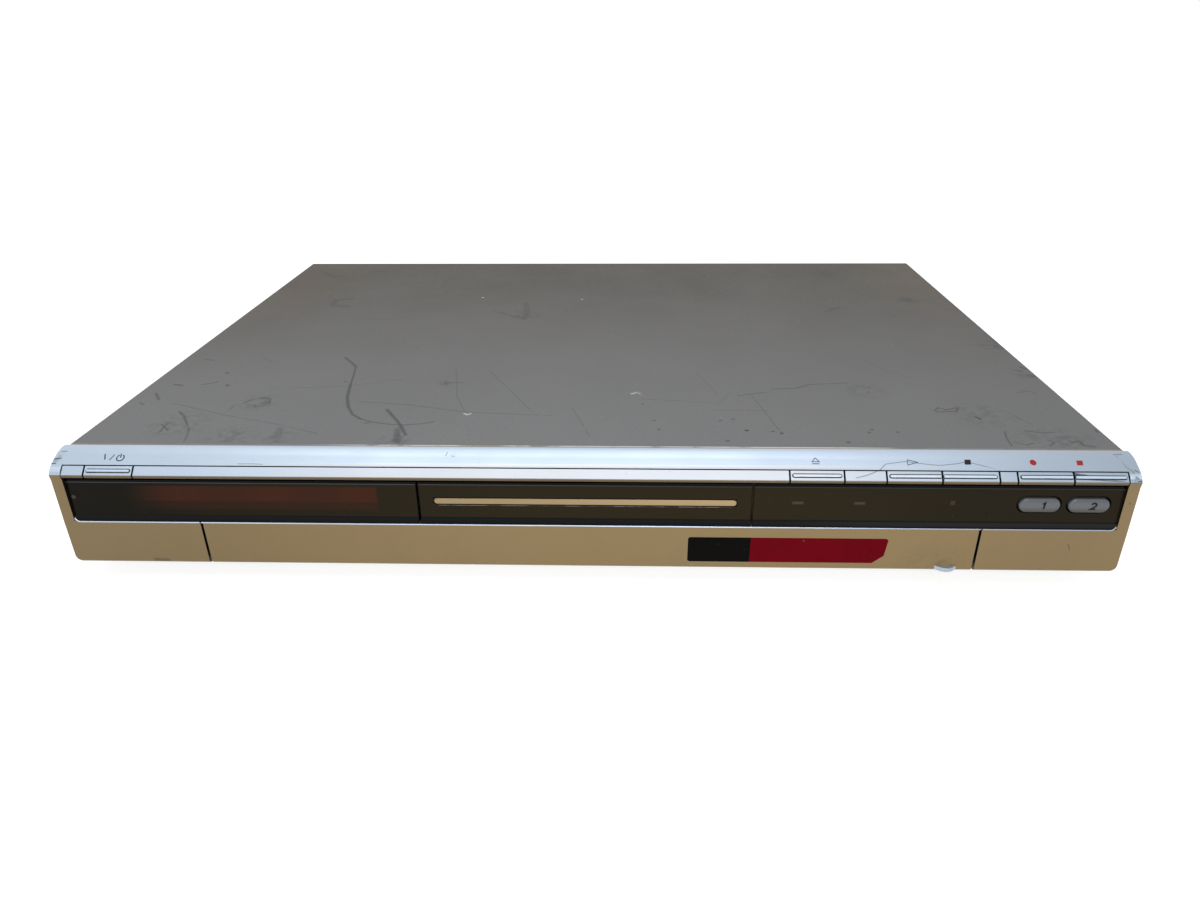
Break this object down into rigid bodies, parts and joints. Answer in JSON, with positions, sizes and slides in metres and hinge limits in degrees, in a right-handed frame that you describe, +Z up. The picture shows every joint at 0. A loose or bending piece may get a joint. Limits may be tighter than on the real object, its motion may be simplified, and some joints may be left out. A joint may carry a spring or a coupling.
{
  "type": "disc and hard disk recorder",
  "caption": "Full-width video recorder with a motor-driven disc tray, a keyed front edge, two drive keys, a drop-down socket flap and a hard disk inside.",
  "frame": {"origin": "middle of the bounding box, at the level that the feet stand on", "axes": "+X to the right seen from the front, +Y to the back, +Z up; the front faces -Y"},
  "size_m": [0.43, 0.3388, 0.057],
  "materials": {
    "silver_paint": "pale silver-blue paint on moulded plastic",
    "grey_steel": "satin grey paint on sheet steel",
    "zinc_steel": "bright zinc plate",
    "pearl_key": "pearl paint under clear lacquer",
    "taupe_paint": "warm metallic paint on moulded plastic",
    "window_glass": "dark smoked acrylic",
    "stripe_gold": "pale gold inlay",
    "key_grey": "satin grey key",
    "display_glass": "display tube glass",
    "black_plastic": "moulded black",
    "grey_plastic": "moulded dark grey",
    "white_plastic": "natural acetal",
    "amber_plastic": "amber acetal",
    "jack_yellow": "moulded yellow",
    "jack_white": "moulded white",
    "jack_red": "moulded red",
    "board_green": "green solder mask",
    "board_tan": "bare paper laminate",
    "cast_alloy": "cast and machined",
    "polished_steel": "ground and polished",
    "winding_tape": "yellow winding tape",
    "capacitor_sleeve": "shrunk sleeve",
    "rubber": "moulded rubber"
  },
  "bodies": {
    "case": {"base_pan": "zinc_steel", "top_cover": "grey_steel", "rear_panel": "zinc_steel", "front_bezel": "silver_paint", "key_rail": "pearl_key", "front_left_foot": "rubber", "front_right_foot": "rubber", "rear_left_foot": "rubber", "rear_right_foot": "rubber", "display_window": "window_glass", "indicator_window": "window_glass", "input_panel": "black_plastic", "video_in_jack": "jack_yellow", "audio_left_in_jack": "jack_white", "audio_right_in_jack": "jack_red", "round_video_in_socket": "black_plastic", "input_board": "board_tan", "display_board": "board_tan", "key_board": "board_tan", "display_tube": "display_glass", "loader_frame": "black_plastic", "loader_cover": "zinc_steel", "loading_motor": "cast_alloy", "hard_disk_body": "cast_alloy", "hard_disk_board": "board_green", "hard_disk_bracket": "zinc_steel", "power_board": "board_tan", "transformer": "winding_tape", "power_heat_sink": "cast_alloy", "main_capacitor": "capacitor_sleeve", "main_board": "board_green", "chip_heat_sink": "cast_alloy", "mains_inlet": "black_plastic", "twin_av_socket": "black_plastic", "rear_jack_block": "grey_plastic", "tuner_module": "zinc_steel", "fan_frame": "black_plastic"},
    "tray": {"disc_tray": "black_plastic", "tray_front": "window_glass", "tray_stripe": "stripe_gold"},
    "loading_gear": {"loading_gear": "white_plastic"},
    "motor_gear": {"motor_gear": "amber_plastic"},
    "traverse": {"traverse_plate": "zinc_steel", "spindle_motor": "cast_alloy", "left_guide_rod": "polished_steel", "right_guide_rod": "polished_steel"},
    "turntable": {"turntable": "black_plastic"},
    "clamp": {"disc_clamp": "white_plastic"},
    "pickup": {"optical_pickup": "cast_alloy"},
    "lead_screw": {"lead_screw": "polished_steel"},
    "flap": {"front_flap": "taupe_paint"},
    "power_key": {"power_key": "pearl_key"},
    "eject_key": {"eject_key": "pearl_key"},
    "play_key": {"play_key": "pearl_key"},
    "stop_key": {"stop_key": "pearl_key"},
    "record_key": {"record_key": "pearl_key"},
    "record_stop_key": {"record_stop_key": "pearl_key"},
    "hard_disk_key": {"hard_disk_key": "key_grey"},
    "disc_key": {"disc_key": "key_grey"},
    "fan_rotor": {"fan_rotor": "black_plastic"}
  },
  "joints": [
    {"name": "tray_slide", "type": "slide", "parent": "case", "child": "tray", "axis": [0, -1, 0], "range_m": [0, 0.14]},
    {"name": "loading_gear_spin", "type": "hinge", "parent": "case", "child": "loading_gear", "pos_m": [-0.04905, -0.13134, 0.032], "axis": [0, 0, 1], "range_deg": [0, 1004]},
    {"name": "motor_gear_spin", "type": "hinge", "parent": "case", "child": "motor_gear", "pos_m": [-0.0277, -0.13134, 0.0304], "axis": [0, 0, 1], "range_deg": [-3212, 0]},
    {"name": "traverse_tilt", "type": "hinge", "parent": "case", "child": "traverse", "pos_m": [0, -0.01994, 0.0279], "axis": [1, 0, 0], "range_deg": [0, 5.01]},
    {"name": "turntable_spin", "type": "hinge", "parent": "traverse", "child": "turntable", "pos_m": [0, -0.10054, 0.0398], "axis": [0, 0, 1], "continuous": true},
    {"name": "clamp_spin", "type": "hinge", "parent": "case", "child": "clamp", "pos_m": [0, -0.10054, 0.044], "axis": [0, 0, 1], "continuous": true},
    {"name": "pickup_slide", "type": "slide", "parent": "traverse", "child": "pickup", "axis": [0, 1, 0], "range_m": [0, 0.03]},
    {"name": "lead_screw_spin", "type": "hinge", "parent": "traverse", "child": "lead_screw", "pos_m": [-0.033, -0.05, 0.0315], "axis": [0, 1, 0], "range_deg": [0, 3602]},
    {"name": "flap_hinge", "type": "hinge", "parent": "case", "child": "flap", "pos_m": [0, -0.16304, 0.0115], "axis": [1, 0, 0], "range_deg": [0, 90]},
    {"name": "power_key_press", "type": "slide", "parent": "case", "child": "power_key", "axis": [0, 0.7071, -0.7071], "range_m": [0, 0.0009], "stiffness_N_per_m": 500},
    {"name": "eject_key_press", "type": "slide", "parent": "case", "child": "eject_key", "axis": [0, 0.7071, -0.7071], "range_m": [0, 0.0009], "stiffness_N_per_m": 500},
    {"name": "play_key_press", "type": "slide", "parent": "case", "child": "play_key", "axis": [0, 0.7071, -0.7071], "range_m": [0, 0.0009], "stiffness_N_per_m": 500},
    {"name": "stop_key_press", "type": "slide", "parent": "case", "child": "stop_key", "axis": [0, 0.7071, -0.7071], "range_m": [0, 0.0009], "stiffness_N_per_m": 500},
    {"name": "record_key_press", "type": "slide", "parent": "case", "child": "record_key", "axis": [0, 0.7071, -0.7071], "range_m": [0, 0.0009], "stiffness_N_per_m": 500},
    {"name": "record_stop_key_press", "type": "slide", "parent": "case", "child": "record_stop_key", "axis": [0, 0.7071, -0.7071], "range_m": [0, 0.0009], "stiffness_N_per_m": 500},
    {"name": "hard_disk_key_press", "type": "slide", "parent": "case", "child": "hard_disk_key", "axis": [0, 1, 0], "range_m": [0, 0.001], "stiffness_N_per_m": 500},
    {"name": "disc_key_press", "type": "slide", "parent": "case", "child": "disc_key", "axis": [0, 1, 0], "range_m": [0, 0.001], "stiffness_N_per_m": 500},
    {"name": "fan_spin", "type": "hinge", "parent": "case", "child": "fan_rotor", "pos_m": [-0.052, 0.1542, 0.0298], "axis": [0, 1, 0], "continuous": true}
  ],
  "couplings": [
    {"joint": "loading_gear_spin", "follows": "tray_slide", "rad_per_m": 125},
    {"joint": "motor_gear_spin", "follows": "tray_slide", "rad_per_m": -400},
    {"joint": "traverse_tilt", "follows": "tray_slide", "rad_per_m": 0.62333},
    {"joint": "clamp_spin", "follows": "turntable_spin", "ratio": 1},
    {"joint": "lead_screw_spin", "follows": "pickup_slide", "rad_per_m": 2094.4}
  ]
}
